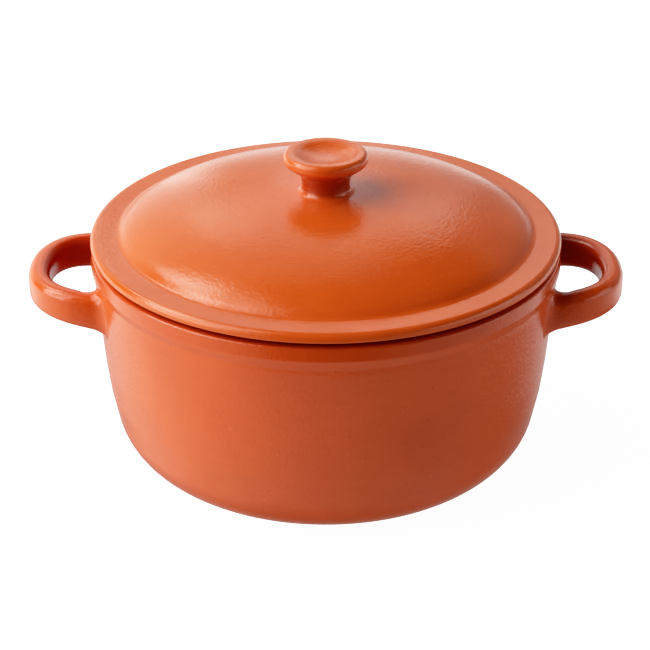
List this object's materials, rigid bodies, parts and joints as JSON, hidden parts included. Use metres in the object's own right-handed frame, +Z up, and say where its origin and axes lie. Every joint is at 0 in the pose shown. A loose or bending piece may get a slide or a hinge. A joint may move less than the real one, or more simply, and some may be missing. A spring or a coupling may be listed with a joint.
{
  "type": "casserole pot",
  "caption": "Round glazed ceramic casserole with loop handles at its sides and a domed lift-off lid with a dished knob, for cooking and serving.",
  "frame": {"origin": "centre of the base, on the surface that the pot stands on", "axes": "+Z up out of the pot, +X towards the right handle, so the front of the picture looks along +Y"},
  "size_m": [0.3072, 0.2414, 0.1646],
  "materials": {
    "pot_glaze": "satin-gloss terracotta glaze, bare foot ring",
    "handle_glaze": "satin-gloss terracotta glaze",
    "lid_glaze": "satin-gloss terracotta glaze",
    "knob_glaze": "satin-gloss terracotta glaze"
  },
  "bodies": {
    "pot": {"vessel": "pot_glaze", "left_handle": "handle_glaze", "right_handle": "handle_glaze"},
    "lid": {"lid": "lid_glaze", "lid_knob": "knob_glaze"}
  },
  "joints": [
    {"name": "lid_lift", "type": "slide", "parent": "pot", "child": "lid", "axis": [0, 0, 1], "range_m": [0, 0.16]}
  ]
}
